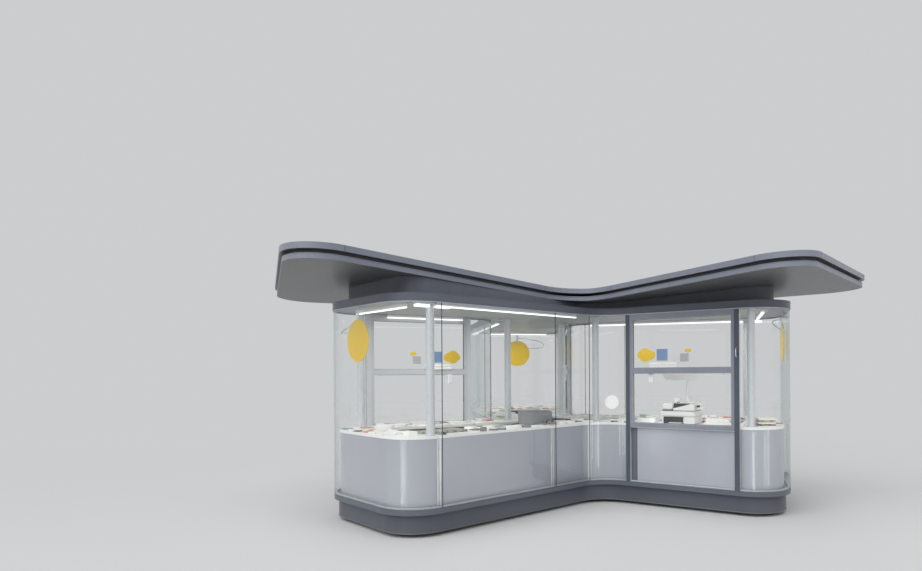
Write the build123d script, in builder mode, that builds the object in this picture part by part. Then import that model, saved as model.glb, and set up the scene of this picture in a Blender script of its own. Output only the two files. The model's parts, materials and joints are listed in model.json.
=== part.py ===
from build123d import *
from math import cos, radians, sin, sqrt, tan
import os

os.makedirs("parts", exist_ok=True)

# A glazed street kiosk of three equal arms round a centre, under one thin roof.
# The origin is the centre of the plan on the ground, and sizes are millimetres.
# Every third is a plain long side, a valley corner, a short side with a serving
# window, and the rounded end of an arm. The thirds stand 120 degrees apart.

third = 120
arm_names = ["east", "north", "west"]
hidden_chords = 3

# Plan of the body, along the outside of the glass. The short side is as long as
# the window bay, its margins and the bends at both ends need.
long_side = 2906
arm_end = 1922
bay_width = 1373
valley_margin = 60
nose_margin = 12
long_heading = 45
valley_turn = 75
nose_turn = 105
heel_turn = third + valley_turn - nose_turn
corner_radius = 454
valley_radius = 400
nose_tangent = corner_radius * tan(radians(nose_turn / 2))
heel_tangent = corner_radius * tan(radians(heel_turn / 2))
valley_tangent = valley_radius * tan(radians(valley_turn / 2))
post_start = valley_tangent + valley_margin
post_end = post_start + bay_width
short_side = post_end + nose_margin + nose_tangent

# Heights above the ground
ground_gap = 40
skirt_height = 197
ledge_height = 54
worktop_level = 1017
band_bottom = 2377
band_height = 83
wing_root_level = 2531

# Base, skirt and floor
skirt_inset = 50
skirt_wall = 30
frame_gap = 15
frame_width = 150
plinth_recess = 80
hub_radius = 320
hub_sides = 6
beam_width = 150
ledge_width = 190

# Counter
panel_inset = 70
panel_wall = 20
panel_joint = 4
panel_chords = 5
worktop_wall = 30
worktop_depth = 420
worktop_overhang = 3
side_joint = 2113
joint_past_bend = 8

# Glass and the serving window
glass_wall = 12
glass_joint = 6
post_width = 53
post_depth = 60
frame_bar = 34
frame_depth = 46
sill_level = 1024
sill_height = 52
head_height = 72
transom_level = 1670
transom_height = 60
pane_wall = 8
apron_recess = 40

# Columns
column_radius = 44
heel_column_along = 428
nose_column_past = 98
column_inset = 165
column_clearance = 1
cutout_sides = 8

# Band, neck and ceiling
band_proud = 8
band_width = 230
neck_inset = 170
neck_wall = 40
ceiling_wall = 36

# Roof, from its own plan
roof_long = 3850
roof_short = 3074
roof_end = 3379
roof_heading = 46.4
roof_valley_turn = 98.2
roof_nose_turn = 106.1
roof_heel_turn = third + roof_valley_turn - roof_nose_turn
roof_corner_radius = 400
roof_valley_radius = 520
lower_lip = 52
lip_groove = 36
upper_lip = 58
lower_lip_inset = 25
groove_inset = 60
wing_angle = 2.7
wing_root = 400
wing_heading = -6
cut_margin = 1

# Lights and round signs
batten_width = 44
batten_height = 16
lens_width = 28
lens_height = 26
side_light_inset = 120
side_light_start = 630
side_light_end = 2600
bay_light_start = 510
bay_light_end = 1500
end_light_inset = 300
end_light_start = 480
end_light_length = 1030
gear_width = 66
gear_height = 52
gear_length = 150
gear_gap = 8
sign_radius = 227
sign_wall = 5
sign_level = 2008
sign_gap = 30
hanger_width = 30
hanger_wall = 4
hanger_lap = 60

skirt_top = ground_gap + skirt_height
ledge_top = skirt_top + ledge_height
band_top = band_bottom + band_height
glass_height = band_bottom - ledge_top
worktop_bottom = worktop_level - worktop_wall
heel_joint = heel_tangent + joint_past_bend


def heading(angle):
    return Vector(cos(radians(angle)), sin(radians(angle)))


def stations(sides, first_heading, turns, radii):
    """Corners of a plan of three equal thirds, as point, heading in, heading out, radius."""
    headings = [first_heading, first_heading - turns[0], first_heading - turns[0] + turns[1]]
    chord = sum((heading(h) * s for h, s in zip(headings, sides)), Vector(0, 0))
    heel = chord.rotate(Axis.Z, (180 - third) / 2) * (-1 / sqrt(3))
    valley = heel + heading(headings[0]) * sides[0]
    nose = valley + heading(headings[1]) * sides[1]
    corners = []
    for index in range(3):
        turn = third * index
        rows = [
            (heel, headings[2] - third, headings[0], radii[0]),
            (valley, headings[0], headings[1], radii[1]),
            (nose, headings[1], headings[2], radii[0]),
        ]
        for point, before, after, radius in rows:
            corners.append((point.rotate(Axis.Z, turn), before + turn, after + turn, radius))
    return corners


body = stations(
    (long_side, short_side, arm_end),
    long_heading,
    (valley_turn, nose_turn),
    (corner_radius, valley_radius),
)
roof = stations(
    (roof_long, roof_short, roof_end),
    roof_heading,
    (roof_valley_turn, roof_nose_turn),
    (roof_corner_radius, roof_valley_radius),
)
heel, valley, nose, next_heel, next_valley = [corner[0] for corner in body[:5]]
short_heading = long_heading - valley_turn
end_heading = short_heading + nose_turn
next_long_heading = long_heading + third


def inset_point(station, inset):
    """The station moved inwards, square to the sides that meet there."""
    point, before, after, radius = station
    left_before = heading(before + 90)
    left_after = heading(after + 90)
    return point + (left_before + left_after) * (inset / (1 + left_before.dot(left_after)))


def inset_radius(station, inset):
    """Outer corners tighten as they move inwards, and valley corners open."""
    point, before, after, radius = station
    if after == before:
        return 0
    return max(radius - inset, 0) if after > before else radius + inset


def chord_points(corner, inset, chords):
    """An outer bend as straight chords, and a valley bend as its plain corner."""
    point, before, after, radius = corner
    bend = inset_point(corner, inset)
    if after <= before:
        return [bend]
    arc_radius = inset_radius(corner, inset)
    start = bend - heading(before) * (arc_radius * tan(radians((after - before) / 2)))
    spoke = heading(before - 90) * arc_radius
    steps = [spoke.rotate(Axis.Z, (after - before) * step / chords) for step in range(chords + 1)]
    return [start - spoke + step for step in steps]


def outline(plan, inset, mode=Mode.ADD, chords=0):
    """Face of a whole plan, moved inwards, with its bends round or in straight chords."""
    with BuildLine() as edge:
        if chords:
            Polyline(*[p for corner in plan for p in chord_points(corner, inset, chords)], close=True)
        else:
            points = [inset_point(corner, inset) for corner in plan]
            FilletPolyline(*points, radius=[inset_radius(c, inset) for c in plan], close=True)
    make_face(edge.edges(), mode=mode)


def strip(route, outer, inner, inner_chords=0):
    """Face between two insets of a route of stations, square at both ends."""
    points = [inset_point(station, outer) for station in route]
    radii = [inset_radius(station, outer) for station in route]
    for station in reversed(route):
        if inner_chords:
            chain = chord_points(station, inner, inner_chords)
            points += reversed(chain)
            radii += [0] * len(chain)
        else:
            points.append(inset_point(station, inner))
            radii.append(inset_radius(station, inner))
    with BuildLine() as edge:
        FilletPolyline(*points, radius=radii, close=True)
    make_face(edge.edges())


def along(start, direction, distance):
    """Plain station on a straight side."""
    return (start + heading(direction) * distance, direction, direction, 0)


def third_plane(index, level):
    return Plane.XY.rotated((0, 0, third * index)).offset(level)


def ring(plan, outer, inner, bottom, height, outer_chords=0):
    """Wall that runs round a whole plan, its hidden inner face in straight chords."""
    with BuildSketch(Plane.XY.offset(bottom)) as section:
        outline(plan, outer, chords=outer_chords)
        outline(plan, inner, Mode.SUBTRACT, hidden_chords)
    extrude(section.sketch, amount=height)


def save(built, label):
    built.part.label = label
    export_step(built.part, f"parts/{label}.step")


# Routes of the first third, between the joints of glass and panels
def end_route(gap):
    return [
        along(valley, short_heading, post_end + gap),
        body[2],
        body[3],
        along(next_heel, next_long_heading, heel_joint - gap),
    ]


def side_route(gap):
    return [
        along(next_heel, next_long_heading, heel_joint + gap),
        along(next_heel, next_long_heading, side_joint - gap),
    ]


def valley_route(gap):
    return [
        along(next_heel, next_long_heading, side_joint + gap),
        body[4],
        along(next_valley, short_heading + third, post_start - gap),
    ]


def bay_route(gap):
    return [
        along(valley, short_heading, post_start + gap),
        along(valley, short_heading, post_end - gap),
    ]


# Base frame: straight lengths welded into a ring on a set-back plinth, with three
# beams to the flats of a hub
frame_inset = skirt_inset + skirt_wall + frame_gap
plinth_inset = frame_inset + plinth_recess
frame_inner = frame_inset + frame_width
with BuildPart() as base_frame:
    ring(body, frame_inset, frame_inner, ground_gap, skirt_height, hidden_chords)
    ring(body, plinth_inset, frame_inner, 0, ground_gap, hidden_chords)
    with BuildSketch(Plane.XY):
        RegularPolygon(hub_radius, hub_sides, rotation=end_heading - 90 + 180 / hub_sides)
    extrude(amount=skirt_top)
    beam_reach = (nose + next_heel).length / 2 - (frame_inset + frame_width / 2)
    for index in range(3):
        with BuildSketch(third_plane(index, ground_gap).rotated((0, 0, end_heading - 90))):
            with Locations((beam_reach / 2, 0)):
                Rectangle(beam_reach, beam_width)
        extrude(amount=skirt_height)
save(base_frame, "base_frame")

with BuildPart() as skirt:
    ring(body, skirt_inset, skirt_inset + skirt_wall, ground_gap, skirt_height)
save(skirt, "skirt")

with BuildPart() as ledge:
    ring(body, 0, ledge_width, skirt_top, ledge_height)
save(ledge, "ledge")

with BuildPart() as floor_deck:
    with BuildSketch(Plane.XY.offset(skirt_top)):
        outline(body, ledge_width, chords=hidden_chords)
    extrude(amount=ledge_height)
save(floor_deck, "floor_deck")

# Columns stand on the ledge: one by each heel, nose and valley corner
column_places = [
    inset_point(along(heel, long_heading, heel_column_along), column_inset),
    inset_point(along(valley, short_heading, post_end + nose_column_past), column_inset),
    inset_point(body[1], column_inset),
]
with BuildPart() as columns:
    for index in range(3):
        with BuildSketch(third_plane(index, ledge_top)):
            with Locations(*column_places):
                Circle(column_radius)
        extrude(amount=glass_height)
save(columns, "columns")

# Counters, glass and the serving window of each arm
panel_inner = panel_inset + panel_wall
panel_height = worktop_bottom - ledge_top
sill_bottom = sill_level - sill_height
transom_bottom = transom_level - transom_height / 2
transom_top = transom_level + transom_height / 2
head_bottom = band_bottom - head_height

for index, arm in enumerate(arm_names):
    low = third_plane(index, ledge_top)
    with BuildPart() as end_panel:
        with BuildSketch(low):
            strip(end_route(panel_joint / 2), panel_inset, panel_inner, panel_chords)
        extrude(amount=panel_height)
    save(end_panel, f"end_panel_{arm}")

    with BuildPart() as side_panel:
        with BuildSketch(low):
            strip(side_route(panel_joint / 2), panel_inset, panel_inner)
        extrude(amount=panel_height)
    save(side_panel, f"side_panel_{arm}")

    with BuildPart() as valley_panel:
        with BuildSketch(low):
            strip(valley_route(panel_joint / 2), panel_inset, panel_inner)
        extrude(amount=panel_height)
    save(valley_panel, f"valley_panel_{arm}")

    with BuildPart() as window_apron:
        with BuildSketch(low):
            strip(bay_route(post_width), apron_recess, apron_recess + panel_wall)
        extrude(amount=sill_bottom - ledge_top)
    save(window_apron, f"window_apron_{arm}")

    worktop_route = [
        along(valley, short_heading, post_start),
        body[2],
        body[3],
        body[4],
        along(next_valley, short_heading + third, post_start - panel_joint),
    ]
    with BuildPart() as worktop:
        with BuildSketch(third_plane(index, worktop_bottom)):
            strip(worktop_route, panel_inset - worktop_overhang, panel_inset + worktop_depth)
        extrude(amount=worktop_wall)
        for turn in range(3):
            with BuildSketch(third_plane(turn, worktop_bottom)):
                with Locations(*column_places):
                    RegularPolygon(column_radius + column_clearance, cutout_sides, major_radius=False)
            extrude(amount=worktop_wall, mode=Mode.SUBTRACT)
    save(worktop, f"worktop_{arm}")

    with BuildPart() as end_glass:
        with BuildSketch(low):
            strip(end_route(glass_joint / 2), 0, glass_wall)
        extrude(amount=glass_height)
    save(end_glass, f"end_glass_{arm}")

    with BuildPart() as side_glass:
        with BuildSketch(low):
            strip(side_route(glass_joint / 2), 0, glass_wall)
        extrude(amount=glass_height)
    save(side_glass, f"side_glass_{arm}")

    with BuildPart() as valley_glass:
        with BuildSketch(low):
            strip(valley_route(glass_joint / 2), 0, glass_wall)
        extrude(amount=glass_height)
    save(valley_glass, f"valley_glass_{arm}")

    # The frame stands between the posts: sill, transom, head and two jambs
    frame_outer = (post_depth - frame_depth) / 2
    with BuildPart() as window_frame:
        with BuildSketch(third_plane(index, sill_bottom)):
            strip(bay_route(post_width), frame_outer, frame_outer + frame_depth)
        extrude(amount=band_bottom - sill_bottom)
        with BuildSketch(third_plane(index, sill_level)):
            strip(bay_route(post_width + frame_bar), frame_outer, frame_outer + frame_depth)
        extrude(amount=transom_bottom - sill_level, mode=Mode.SUBTRACT)
        with BuildSketch(third_plane(index, transom_top)):
            strip(bay_route(post_width + frame_bar), frame_outer, frame_outer + frame_depth)
        extrude(amount=head_bottom - transom_top, mode=Mode.SUBTRACT)
    save(window_frame, f"window_frame_{arm}")

    pane_outer = (post_depth - pane_wall) / 2
    with BuildPart() as window_glass:
        for bottom, top in ((sill_level, transom_bottom), (transom_top, head_bottom)):
            with BuildSketch(third_plane(index, bottom)):
                strip(bay_route(post_width + frame_bar), pane_outer, pane_outer + pane_wall)
            extrude(amount=top - bottom)
    save(window_glass, f"window_glass_{arm}")

with BuildPart() as window_posts:
    for index in range(3):
        for start in (post_start, post_end - post_width):
            post = [along(valley, short_heading, start), along(valley, short_heading, start + post_width)]
            with BuildSketch(third_plane(index, ledge_top)):
                strip(post, 0, post_depth)
            extrude(amount=glass_height)
save(window_posts, "window_posts")

# Round signs hang inside the middle of each end glass, each on a flat strap from the band
with BuildPart() as round_signs:
    for index in range(3):
        middle = (nose + next_heel) / 2
        inward = heading(end_heading + 90)
        origin = (middle + inward * (glass_wall + sign_gap)).rotate(Axis.Z, third * index)
        normal = inward.rotate(Axis.Z, third * index)
        with BuildSketch(Plane(origin=origin + Vector(0, 0, sign_level), z_dir=normal)):
            Circle(sign_radius)
        extrude(amount=sign_wall)
save(round_signs, "round_signs")

hanger_inset = glass_wall + sign_gap + sign_wall
hanger_bottom = sign_level + sign_radius - hanger_lap
with BuildPart() as sign_hangers:
    for index in range(3):
        first = (arm_end - hanger_width) / 2
        run = [along(nose, end_heading, first), along(nose, end_heading, first + hanger_width)]
        with BuildSketch(third_plane(index, hanger_bottom)):
            strip(run, hanger_inset, hanger_inset + hanger_wall)
        extrude(amount=band_bottom - hanger_bottom)
save(sign_hangers, "sign_hangers")

with BuildPart() as fascia_band:
    ring(body, -band_proud, band_width, band_bottom, band_height)
save(fascia_band, "fascia_band")

with BuildPart() as ceiling:
    with BuildSketch(Plane.XY.offset(band_bottom)):
        outline(body, band_width, chords=hidden_chords)
    extrude(amount=ceiling_wall)
save(ceiling, "ceiling")

# Roof: a level middle, and three wings that rise outwards from their roots
groove_bottom = wing_root_level + lower_lip
groove_top = groove_bottom + lip_groove
roof_top = groove_top + upper_lip
wing_headroom = roof_long * sin(radians(wing_angle)) + roof_top - wing_root_level


def above_wings(inset, level, chords=0):
    """Whatever stands over the wings' planes, within the roof's plan."""
    with BuildPart() as solid:
        with BuildSketch(Plane.XY.offset(level)):
            outline(roof, inset, chords=chords)
        extrude(amount=wing_headroom * 2)
        for index in range(3):
            root = heading(wing_heading + third * index) * wing_root
            tilt = Plane(
                origin=root + Vector(0, 0, level),
                x_dir=heading(wing_heading + third * index + 90),
                z_dir=heading(wing_heading + third * index) * -sin(radians(wing_angle))
                + Vector(0, 0, cos(radians(wing_angle))),
            )
            split(bisect_by=tilt, keep=Keep.TOP)
    return solid.part


def roof_layer(inset, bottom, top, chords=0):
    """Sheet of even height that follows the wings."""
    return above_wings(inset, bottom, chords) - above_wings(inset - cut_margin, top)


with BuildPart() as neck:
    ring(body, neck_inset, neck_inset + neck_wall, band_top, wing_headroom)
    add(above_wings(0, wing_root_level), mode=Mode.SUBTRACT)
save(neck, "neck")

with BuildPart() as roof_soffit:
    add(roof_layer(lower_lip_inset, wing_root_level, groove_bottom))
save(roof_soffit, "roof_soffit")

with BuildPart() as roof_core:
    add(roof_layer(groove_inset, groove_bottom, groove_top, hidden_chords))
save(roof_core, "roof_core")

with BuildPart() as roof_deck:
    add(roof_layer(0, groove_top, roof_top))
save(roof_deck, "roof_deck")


# Lights: a batten with its lens under the ceiling behind each long side, each window
# and each arm's end, with a gear box on both sides of the heel column
def light_bar(start, direction, first, last, inset, steps):
    """Bars hung one under another along a side, each given as width and height."""
    run = [along(start, direction, first), along(start, direction, last)]
    top = band_bottom
    for width, height in steps:
        with BuildSketch(Plane.XY.offset(top - height)) as bar:
            strip(run, inset - width / 2, inset + width / 2)
        extrude(bar.sketch, amount=height)
        top -= height


lamp_steps = [(batten_width, batten_height), (lens_width, lens_height)]
gear_steps = [(gear_width, gear_height)]
gear_clear = column_radius + gear_gap
with BuildPart() as ceiling_lights:
    for index in range(3):
        turn = third * index
        side = (heel.rotate(Axis.Z, turn), long_heading + turn)
        bay = (valley.rotate(Axis.Z, turn), short_heading + turn)
        end = (nose.rotate(Axis.Z, turn), end_heading + turn)
        end_light_stop = end_light_start + end_light_length
        light_bar(*side, side_light_start, side_light_end, side_light_inset, lamp_steps)
        light_bar(*bay, bay_light_start, bay_light_end, side_light_inset, lamp_steps)
        light_bar(*end, end_light_start, end_light_stop, end_light_inset, lamp_steps)
        for first in (heel_column_along - gear_clear - gear_length, heel_column_along + gear_clear):
            light_bar(*side, first, first + gear_length, side_light_inset, gear_steps)
save(ceiling_lights, "ceiling_lights")
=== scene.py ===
import json
import math

import bmesh
import bpy
import numpy as np
from mathutils import Matrix, Vector


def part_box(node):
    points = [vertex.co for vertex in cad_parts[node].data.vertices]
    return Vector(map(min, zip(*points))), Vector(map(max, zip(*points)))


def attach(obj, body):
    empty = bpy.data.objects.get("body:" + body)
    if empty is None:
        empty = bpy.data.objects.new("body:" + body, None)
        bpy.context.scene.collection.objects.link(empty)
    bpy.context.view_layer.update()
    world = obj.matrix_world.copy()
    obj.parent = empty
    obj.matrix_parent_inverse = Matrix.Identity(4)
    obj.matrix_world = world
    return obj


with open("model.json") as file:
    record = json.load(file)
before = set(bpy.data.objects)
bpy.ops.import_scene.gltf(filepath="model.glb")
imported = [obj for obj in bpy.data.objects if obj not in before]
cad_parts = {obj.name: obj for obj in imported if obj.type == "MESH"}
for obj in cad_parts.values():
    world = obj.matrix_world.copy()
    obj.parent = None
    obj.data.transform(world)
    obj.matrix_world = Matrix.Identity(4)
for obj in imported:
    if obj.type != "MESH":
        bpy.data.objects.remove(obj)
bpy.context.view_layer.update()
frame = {"nodes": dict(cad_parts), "record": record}
nodes = frame["nodes"]
arms = ("east", "north", "west")
third = 120        # degrees from one arm to the next
print("frame loaded:", len(nodes), "nodes")


# Shader expressions

def put(tree, socket, item):
    # A link where the item comes from a node, else the socket's own value
    if isinstance(item, Value):
        tree.links.new(item.socket, socket)
    else:
        socket.default_value = item


class Value:
    # A node's output. Plain arithmetic on it adds the Math nodes it needs.
    def __init__(self, tree, socket):
        self.tree = tree
        self.socket = socket

    def maths(self, operation, first, second=0.0, clamp=False):
        made = self.tree.nodes.new("ShaderNodeMath")
        made.operation = operation
        made.use_clamp = clamp
        put(self.tree, made.inputs[0], first)
        put(self.tree, made.inputs[1], second)
        return Value(self.tree, made.outputs[0])

    def __add__(self, other):
        return self.maths("ADD", self, other)

    __radd__ = __add__

    def __sub__(self, other):
        return self.maths("SUBTRACT", self, other)

    def __rsub__(self, other):
        return self.maths("SUBTRACT", other, self)

    def __mul__(self, other):
        return self.maths("MULTIPLY", self, other)

    __rmul__ = __mul__

    def __pow__(self, other):
        return self.maths("POWER", self, other)

    def larger(self, other):
        return self.maths("MAXIMUM", self, other)

    def clamped(self):
        return self.maths("ADD", self, 0.0, clamp=True)


class Finish:
    # One material with its node tree
    def __init__(self, name):
        self.material = bpy.data.materials.new(name)
        self.material.use_nodes = True
        self.tree = self.material.node_tree
        self.tree.nodes.clear()

    def node(self, kind, settings=None, sockets=None, output=0):
        # Any node by its type: settings first, then the values or links of its sockets
        made = self.tree.nodes.new("ShaderNode" + kind)
        for key, setting in (settings or {}).items():
            setattr(made, key, setting)
        for key, item in (sockets or {}).items():
            put(self.tree, made.inputs[key], item)
        return Value(self.tree, made.outputs[output]) if made.outputs else None

    def place(self, stretch):
        # Object coordinates, stretched along each axis
        spot = self.node("TexCoord", output="Object")
        return self.node("Mapping", sockets={"Vector": spot, "Scale": stretch})

    def noise(self, scale, detail, stretch=(1, 1, 1)):
        sockets = {"Vector": self.place(stretch), "Scale": scale, "Detail": detail}
        return self.node("TexNoise", sockets=sockets)

    def between(self, value, low, high):
        # Smooth mask: 0 below low, 1 above high
        sockets = {"Value": value, "From Min": low, "From Max": high}
        return self.node("MapRange", {"interpolation_type": "SMOOTHSTEP"}, sockets)

    def patches(self, noise, mask):
        # Noise given as (scale, detail, stretch), cut to patches by a mask (low, high)
        return self.between(self.noise(*noise), *mask)

    def height(self):
        spot = self.node("TexCoord", output="Object")
        return self.node("SeparateXYZ", sockets={"Vector": spot}, output="Z")

    def grazing(self):
        # 0 where the surface is seen straight on, 1 where the sight line only grazes it
        return self.node("LayerWeight", sockets={"Blend": 0.5}, output="Facing")

    def facing(self, way):
        # Surface normal along a fixed direction: 1 towards it, -1 away from it
        normal = self.node("TexCoord", output="Normal")
        return self.node("VectorMath", {"operation": "DOT_PRODUCT"}, {0: normal, 1: way}, output="Value")

    def blend(self, factor, first, second):
        # Colour mix through indexes, because a Mix node repeats its socket names
        return self.node("Mix", {"data_type": "RGBA"}, {0: factor, 6: first, 7: second}, output=2)

    def bump(self, surface, distance, normal=None):
        sockets = {"Height": surface, "Distance": distance, "Strength": 1.0}
        if normal:
            sockets["Normal"] = normal
        return self.node("Bump", sockets=sockets)

    def coat(self, **sockets):
        # Principled surface and the output: names with _ stand for spaces
        sockets = {key.replace("_", " "): item for key, item in sockets.items()}
        return self.finish(self.node("BsdfPrincipled", sockets=sockets))

    def finish(self, shader):
        self.node("OutputMaterial", sockets={"Surface": shader})
        return self.material


def colour(red, green, blue):
    # Screen values 0 to 255 as linear light
    screen = np.array([red, green, blue]) / 255
    linear = np.where(screen <= 0.04045, screen / 12.92, ((screen + 0.055) / 1.055) ** 2.4)
    return (*linear.tolist(), 1.0)


# Finishes. In each look a noise is (scale, detail, stretch), a mask is (low, high), a depth is in metres.

paintLook = {
    "cloud": (1.3, 4), "cloudMask": (0.3, 0.75), "cloudShare": 0.55,
    "streak": (5, 4, (9, 9, 0.35)), "streakMask": (0.5, 0.78), "streakShare": 0.35,
    "grain": (260, 2), "grainRough": 0.10, "streakRough": 0.10, "polish": 0.08,
    "peel": (420, 1), "peelDepth": 0.0001, "sheet": (2.1, 1),
    "dustTone": (150, 146, 138), "dustLevels": (0.05, 0.30), "dustSway": 0.03, "underShadeMask": (-0.95, -0.80),
}


def satinPaint(name, base, dark, rough, wave=0.0006, dust=0.0, under=None):
    # Sprayed steel: cloudy tone, rain streaks down the face, fine peel, dust at the foot, and painted shade
    # on the faces that look down
    f = Finish(name)
    look = paintLook
    cloud = f.patches(look["cloud"], look["cloudMask"])
    streak = f.patches(look["streak"], look["streakMask"])
    grain = f.noise(*look["grain"])
    tone = f.blend(cloud * look["cloudShare"] + streak * look["streakShare"], base, dark)
    if dust:
        sway = f.height() + grain * look["dustSway"] - streak * look["dustSway"]
        low = 1 - f.between(sway, *look["dustLevels"])
        tone = f.blend((low * dust).clamped(), tone, colour(*look["dustTone"]))
    # Painted shade: faces that look down take the darker under tone
    if under:
        below = 1 - f.between(f.facing((0, 0, 1)), *look["underShadeMask"])
        tone = f.blend(below, tone, under)
    peel = f.bump(f.noise(*look["peel"]), look["peelDepth"])
    roughness = grain * look["grainRough"] + streak * look["streakRough"] + rough - look["polish"]
    return f.coat(
        Base_Color=tone, Roughness=roughness.clamped(), Normal=f.bump(f.noise(*look["sheet"]), wave, peel)
    )


postLook = {
    "cloud": (3, 4), "cloudMask": (0.3, 0.75), "cloudShare": 0.6, "cloudRough": 0.06,
    "streak": (6, 3, (9, 9, 0.35)), "streakMask": (0.5, 0.78), "streakShare": 0.3, "streakRough": 0.1,
    "bayWays": (-120, 0, 120), "shadedOutMask": (0.90, 0.96), "rough": 0.28, "metal": 0.2,
    "peel": (420, 1), "peelDepth": 0.0001,
}


def postPaintLitShaded(name, outer, dark, inner):
    # Painted shade on the faces that look straight out of a window bay, a paler painted-light tone on all
    # the others
    f = Finish(name)
    look = postLook
    cloud = f.patches(look["cloud"], look["cloudMask"])
    streak = f.patches(look["streak"], look["streakMask"])
    ways = [f.facing((math.cos(a), math.sin(a), 0)) for a in np.radians(look["bayWays"]).tolist()]
    # Faces that look out of a bay take the painted shade tone, all others the painted light tone
    out = f.between(ways[0].larger(ways[1]).larger(ways[2]), *look["shadedOutMask"])
    worn = (cloud * look["cloudShare"] + streak * look["streakShare"]).clamped()
    roughness = streak * look["streakRough"] + cloud * look["cloudRough"] + look["rough"]
    return f.coat(
        Base_Color=f.blend(out, inner, f.blend(worn, outer, dark)), Roughness=roughness.clamped(),
        Metallic=look["metal"], Normal=f.bump(f.noise(*look["peel"]), look["peelDepth"]),
    )


panelLook = {
    "brush": (60, 3, (6, 6, 0.12)), "brushShare": 0.12, "brushRough": 0.04, "brushDepth": 0.00001,
    "cloud": (0.9, 3), "cloudMask": (0.3, 0.8), "cloudShare": 0.6,
    "scuff": (34, 5, (1, 1, 2.5)), "scuffMask": (0.66, 0.80), "scuffLevels": (0.32, 0.62), "scuffShare": 0.5,
    "scuffRough": 0.2, "scuffTone": (120, 120, 118), "dents": (1.7, 1, (1, 1, 0.35)), "dentDepth": 0.0025,
    "metal": 0.3, "lacquer": 0.25, "lacquerRough": 0.12,
}


def sheetPanel(name, base, dark, rough):
    # Coated sheet behind the glass: faint vertical brushing, soft dents, scuffs low down
    f = Finish(name)
    look = panelLook
    brush = f.noise(*look["brush"])
    cloud = f.patches(look["cloud"], look["cloudMask"])
    scuff = f.patches(look["scuff"], look["scuffMask"]) * (1 - f.between(f.height(), *look["scuffLevels"]))
    tone = f.blend((cloud * look["cloudShare"] + brush * look["brushShare"]).clamped(), base, dark)
    tone = f.blend((scuff * look["scuffShare"]).clamped(), tone, colour(*look["scuffTone"]))
    dents = f.bump(f.noise(*look["dents"]), look["dentDepth"])
    roughness = brush * look["brushRough"] + scuff * look["scuffRough"] + rough
    return f.coat(
        Base_Color=tone, Roughness=roughness.clamped(), Metallic=look["metal"],
        Normal=f.bump(brush, look["brushDepth"], dents), Coat_Weight=look["lacquer"],
        Coat_Roughness=look["lacquerRough"],
    )


metalLook = {
    "lines": (24, 4, (30, 30, 0.6)), "linesShare": 0.5, "linesRough": 0.14, "linesDepth": 0.00008,
    "smudge": (7, 4), "smudgeMask": (0.48, 0.72), "smudgeShare": 0.3, "smudgeRough": 0.10,
}


def brushedMetal(name, base, dark, rough, metallic):
    # Drawn aluminium or steel: fine lines along the length, smudges where hands reach
    f = Finish(name)
    look = metalLook
    lines = f.noise(*look["lines"])
    smudge = f.patches(look["smudge"], look["smudgeMask"])
    tone = f.blend((lines * look["linesShare"] + smudge * look["smudgeShare"]).clamped(), base, dark)
    roughness = lines * look["linesRough"] + smudge * look["smudgeRough"] + rough
    return f.coat(
        Base_Color=tone, Roughness=roughness.clamped(), Metallic=metallic,
        Normal=f.bump(lines, look["linesDepth"]),
    )


glassLook = {
    "steepness": 5, "grazingMirror": 0.95, "straightMirror": 0.04, "smear": (3.2, 5, (1, 1, 0.5)),
    "smearMask": (0.55, 0.85), "smearCover": 0.012, "smearRough": 0.05, "dust": (9, 4), "dustSway": 0.12,
    "dustLevels": (0.34, 0.52), "dustCover": 0.05, "dustRough": 2, "rough": 0.015, "edgeMask": (0.72, 0.97),
    "tone": (228, 236, 236), "edgeTone": (168, 186, 184),
}


def clearGlass(name):
    # Clear sheet: its mirror part grows towards grazing angles, with faint smears and dust
    f = Finish(name)
    look = glassLook
    mirror = f.grazing() ** look["steepness"] * look["grazingMirror"] + look["straightMirror"]
    smear = f.patches(look["smear"], look["smearMask"])
    sway = f.height() + f.noise(*look["dust"]) * look["dustSway"]
    dust = (1 - f.between(sway, *look["dustLevels"])) * look["dustCover"]
    cover = mirror + smear * look["smearCover"] + dust
    edge = f.between(f.grazing(), *look["edgeMask"])
    roughness = smear * look["smearRough"] + dust * look["dustRough"] + look["rough"]
    return f.coat(
        Base_Color=f.blend(edge, colour(*look["tone"]), colour(*look["edgeTone"])),
        Roughness=roughness.clamped(), Metallic=1.0, Alpha=cover.clamped(),
    )


plasticLook = {
    "dots": (700, 2), "dotsMask": (0.56, 0.68), "dotsDepth": 0.00005,
    "cloud": (2.4, 3), "cloudMask": (0.3, 0.8), "cloudShare": 0.35, "cloudRough": 0.10,
}


def plainPlastic(name, base, dark, rough, speckle):
    # Moulded or laminated sheet with a fine speckle
    f = Finish(name)
    look = plasticLook
    dots = f.patches(look["dots"], look["dotsMask"])
    cloud = f.patches(look["cloud"], look["cloudMask"])
    tone = f.blend((dots * speckle + cloud * look["cloudShare"]).clamped(), base, dark)
    roughness = (cloud * look["cloudRough"] + rough).clamped()
    return f.coat(Base_Color=tone, Roughness=roughness, Normal=f.bump(dots, look["dotsDepth"]))


lightLook = {
    "uneven": (5, 2), "unevenMask": (0.2, 0.8), "unevenShare": 0.3,
    "top": 2.349, "fade": 0.001, "glow": 1.25, "rough": 0.35,
}


def litPlastic(name, base, glow):
    # Diffuser lit from inside, below the painted batten that starts at the level top; the lower part of the
    # gear boxes glows as well, a painted glow
    f = Finish(name)
    look = lightLook
    uneven = f.patches(look["uneven"], look["unevenMask"])
    lit = 1 - f.between(f.height(), look["top"] - look["fade"], look["top"] + look["fade"])
    tone = f.blend(lit, colour(0, 0, 0), f.blend(uneven * look["unevenShare"], glow, base))
    return f.coat(
        Base_Color=base, Roughness=look["rough"], Emission_Color=tone, Emission_Strength=look["glow"]
    )


paperLook = {"cells": (22, 22, 22), "blockMask": (0.30, 0.42), "blockTone": (236, 234, 228)}


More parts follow.
